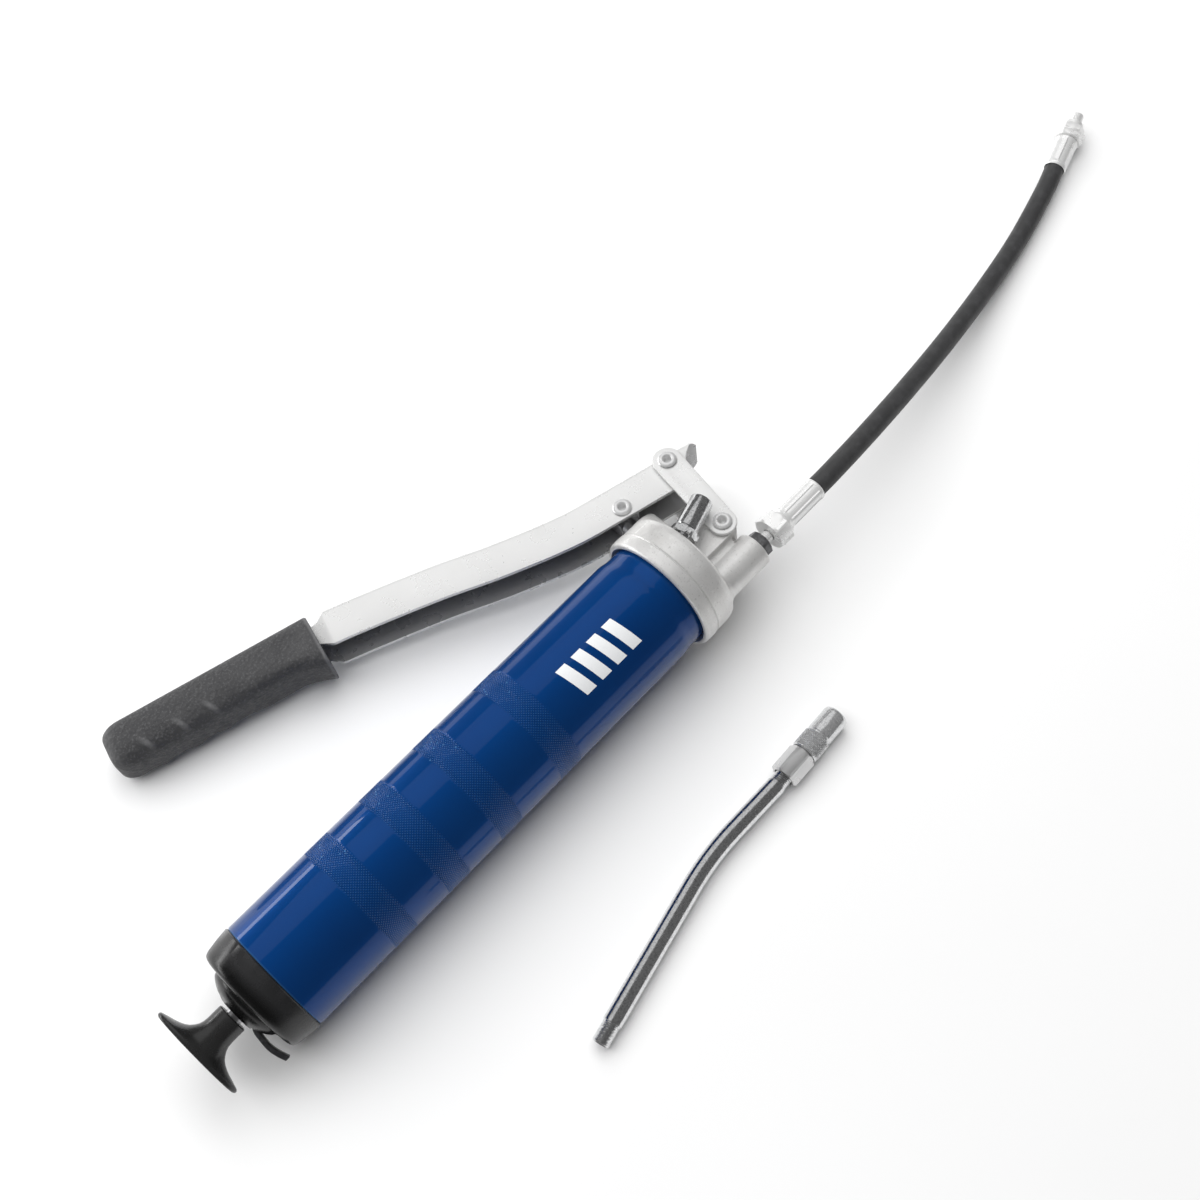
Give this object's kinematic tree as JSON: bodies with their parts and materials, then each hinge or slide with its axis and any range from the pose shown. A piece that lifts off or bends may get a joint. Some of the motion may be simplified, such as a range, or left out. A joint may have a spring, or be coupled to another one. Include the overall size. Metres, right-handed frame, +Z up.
{
  "type": "lever grease gun",
  "caption": "Lever-action hand grease gun lying on its side, with a flexible outlet hose and a separate rigid outlet pipe carrying a grease coupler.",
  "frame": {"origin": "On the surface that the gun lies on, under the centre of the outer box of the gun and its rigid pipe, leaving out the flexible hose.", "axes": "+X along the barrel from the T-handle towards the pump head, +Y from the barrel towards the lever's grip, +Z up."},
  "size_m": [0.6593, 0.2602, 0.0626],
  "materials": {
    "blue_paint": "gloss",
    "cast_alloy": "as cast, satin",
    "zinc": "bright zinc plate",
    "chrome": "polished",
    "steel": "plain",
    "black_plastic": "satin black",
    "grip_vinyl": "pebbled vinyl",
    "rubber": "matt"
  },
  "bodies": {
    "gun": {"barrel_tube": "blue_paint", "end_cap": "black_plastic", "head_casting": "cast_alloy", "head_gasket": "rubber", "check_ball": "steel", "check_spring": "steel", "outlet_adapter": "steel", "hose_nipple": "zinc", "hose_ferrule": "zinc", "link_rivet": "zinc", "filler_nipple": "chrome", "filler_ball": "steel", "follower_spring": "steel", "plunger_seal": "rubber", "hose": "rubber", "tip_ferrule": "zinc", "tip_nut": "zinc", "tip_thread": "zinc"},
    "follower": {"follower_rod": "steel", "tee_handle": "black_plastic", "follower_back_plate": "zinc", "follower_cup": "rubber", "follower_front_plate": "zinc", "follower_nut": "steel"},
    "latch": {"rod_latch": "steel"},
    "link": {"link": "zinc"},
    "lever": {"lever": "zinc", "grip": "grip_vinyl", "lever_rivet": "zinc", "plunger_rivet": "zinc"},
    "plunger": {"plunger": "steel"},
    "pipe": {"extension_pipe": "chrome", "coupler_body": "zinc", "coupler_seal": "rubber", "coupler_jaws": "steel", "coupler_spring": "steel"},
    "sleeve": {"coupler_sleeve": "chrome"}
  },
  "joints": [
    {"name": "follower_pull", "type": "slide", "parent": "gun", "child": "follower", "axis": [-0.9999, 0, -0.0121], "range_m": [0, 0.18], "deforming": ["follower_spring"]},
    {"name": "latch_tilt", "type": "hinge", "parent": "gun", "child": "latch", "pos_m": [-0.16107, -0.00265, 0.03027], "axis": [-0.0116, -0.2684, 0.9632], "range_deg": [0, 4]},
    {"name": "link_swing", "type": "hinge", "parent": "gun", "child": "link", "pos_m": [0.13793, -0.01254, 0.03199], "axis": [0.012, -0.1207, -0.9926], "range_deg": [-3.2, 1.05]},
    {"name": "lever_swing", "type": "hinge", "parent": "link", "child": "lever", "pos_m": [0.14639, 0.02925, 0.02701], "axis": [0.012, -0.1207, -0.9926], "range_deg": [-9, 30]},
    {"name": "plunger_stroke", "type": "slide", "parent": "gun", "child": "plunger", "axis": [0.0015, 0.9927, -0.1207], "range_m": [-0.0047, 0.0152]},
    {"name": "pipe_lift", "type": "slide", "parent": "gun", "child": "pipe", "axis": [0, 0, 1], "range_m": [0, 0.05]},
    {"name": "sleeve_turn", "type": "hinge", "parent": "pipe", "child": "sleeve", "pos_m": [0.09065, -0.10553, 0.0066], "axis": [0.9994, 0.0349, 0], "range_deg": [0, 180]}
  ],
  "couplings": [
    {"joint": "link_swing", "follows": "lever_swing", "ratio": -0.1031},
    {"joint": "plunger_stroke", "follows": "lever_swing", "m_per_rad": 0.0288}
  ]
}
